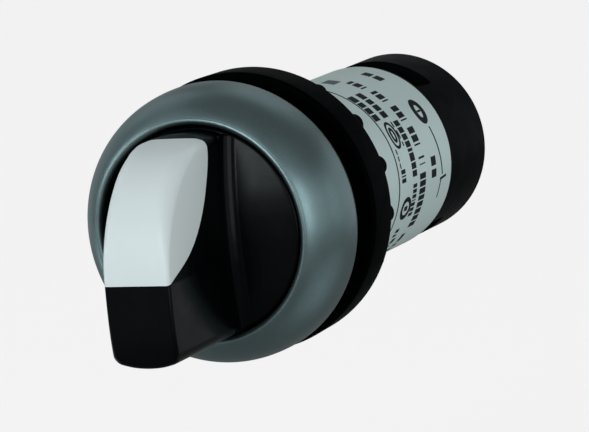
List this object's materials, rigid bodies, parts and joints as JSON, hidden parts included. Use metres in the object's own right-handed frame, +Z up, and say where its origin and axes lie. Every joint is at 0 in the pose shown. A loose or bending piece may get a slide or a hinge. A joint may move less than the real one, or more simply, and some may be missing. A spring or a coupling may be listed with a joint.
{
  "type": "selector switch",
  "caption": "Compact panel selector switch: domed satin bezel, black lever knob with white insert, ring nut, labelled barrel and screw terminals.",
  "frame": {"origin": "on the switch's axis in the plane of the panel's front face, which is the gasket's rear face", "axes": "+Y along the axis to the rear (terminals), -Y to the operator, +X to the operator's right, +Z up with the lever upright"},
  "size_m": [0.03, 0.0712, 0.03],
  "materials": {
    "black_plastic": "fine moulded satin black",
    "satin_bezel": "satin metallic coating on moulded plastic",
    "white_plastic": "semi-gloss white",
    "label_film": "printed polyester label",
    "black_rubber": "matt elastomer",
    "natural_plastic": "uncoloured acetal",
    "dark_plastic": "glass-filled moulding",
    "zinc_steel": "zinc plated",
    "black_steel": "black oxide",
    "spring_steel": "bright spring wire and strip",
    "contact_brass": "stamped brass with silver tips"
  },
  "bodies": {
    "housing": {"housing_barrel": "black_plastic", "bezel_ring": "satin_bezel", "front_gasket": "black_rubber", "label_sleeve": "label_film", "detent_spring": "spring_steel", "plunger_guide": "dark_plastic", "terminal_housing": "black_plastic", "return_spring": "spring_steel", "nc_fixed_contact_left": "contact_brass", "nc_fixed_contact_right": "contact_brass", "no_fixed_contact_left": "contact_brass", "no_fixed_contact_right": "contact_brass"},
    "knob": {"knob": "black_plastic", "knob_insert": "white_plastic", "shaft_seal": "black_rubber", "rotor_cam": "natural_plastic", "retaining_clip": "spring_steel"},
    "plunger": {"plunger": "natural_plastic", "nc_contact_bridge": "contact_brass", "no_contact_bridge": "contact_brass", "nc_contact_spring": "spring_steel", "no_contact_spring": "spring_steel"},
    "washer": {"lock_washer": "black_steel"},
    "nut": {"ring_nut": "black_plastic"},
    "clamp_top_left": {"terminal_clamp_top_left": "zinc_steel"},
    "screw_top_left": {"terminal_screw_top_left": "zinc_steel"},
    "clamp_top_right": {"terminal_clamp_top_right": "zinc_steel"},
    "screw_top_right": {"terminal_screw_top_right": "zinc_steel"},
    "clamp_bottom_left": {"terminal_clamp_bottom_left": "zinc_steel"},
    "screw_bottom_left": {"terminal_screw_bottom_left": "zinc_steel"},
    "clamp_bottom_right": {"terminal_clamp_bottom_right": "zinc_steel"},
    "screw_bottom_right": {"terminal_screw_bottom_right": "zinc_steel"}
  },
  "joints": [
    {"name": "knob_turn", "type": "hinge", "parent": "housing", "child": "knob", "pos_m": [0, -0.01, 0], "axis": [0, 1, 0], "range_deg": [0, 60.02], "deforming": ["detent_spring"]},
    {"name": "plunger_travel", "type": "slide", "parent": "housing", "child": "plunger", "axis": [0, 1, 0], "range_m": [0, 0.003], "deforming": ["return_spring"]},
    {"name": "washer_travel", "type": "slide", "parent": "housing", "child": "washer", "axis": [0, 1, 0], "range_m": [0, 0.006]},
    {"name": "nut_turn", "type": "hinge", "parent": "washer", "child": "nut", "pos_m": [0, 0.006, 0], "axis": [0, 1, 0], "range_deg": [0, 1440.5]},
    {"name": "clamp_travel_top_left", "type": "slide", "parent": "housing", "child": "clamp_top_left", "axis": [0, 1, 0], "range_m": [0, 0.0015]},
    {"name": "screw_turn_top_left", "type": "hinge", "parent": "clamp_top_left", "child": "screw_top_left", "pos_m": [-0.0041, 0.0435, 0.0041], "axis": [0, 1, 0], "range_deg": [0, 1080.5]},
    {"name": "clamp_travel_top_right", "type": "slide", "parent": "housing", "child": "clamp_top_right", "axis": [0, 1, 0], "range_m": [0, 0.0015]},
    {"name": "screw_turn_top_right", "type": "hinge", "parent": "clamp_top_right", "child": "screw_top_right", "pos_m": [0.0041, 0.0435, 0.0041], "axis": [0, 1, 0], "range_deg": [0, 1080.5]},
    {"name": "clamp_travel_bottom_left", "type": "slide", "parent": "housing", "child": "clamp_bottom_left", "axis": [0, 1, 0], "range_m": [0, 0.0015]},
    {"name": "screw_turn_bottom_left", "type": "hinge", "parent": "clamp_bottom_left", "child": "screw_bottom_left", "pos_m": [-0.0041, 0.0435, -0.0041], "axis": [0, 1, 0], "range_deg": [0, 1080.5]},
    {"name": "clamp_travel_bottom_right", "type": "slide", "parent": "housing", "child": "clamp_bottom_right", "axis": [0, 1, 0], "range_m": [0, 0.0015]},
    {"name": "screw_turn_bottom_right", "type": "hinge", "parent": "clamp_bottom_right", "child": "screw_bottom_right", "pos_m": [0.0041, 0.0435, -0.0041], "axis": [0, 1, 0], "range_deg": [0, 1080.5]}
  ],
  "couplings": [
    {"joint": "knob_turn", "follows": "plunger_travel", "rad_per_m": 349.07},
    {"joint": "nut_turn", "follows": "washer_travel", "rad_per_m": 4188.8},
    {"joint": "screw_turn_top_left", "follows": "clamp_travel_top_left", "rad_per_m": 12566},
    {"joint": "screw_turn_top_right", "follows": "clamp_travel_top_right", "rad_per_m": 12566},
    {"joint": "screw_turn_bottom_left", "follows": "clamp_travel_bottom_left", "rad_per_m": 12566},
    {"joint": "screw_turn_bottom_right", "follows": "clamp_travel_bottom_right", "rad_per_m": 12566}
  ]
}
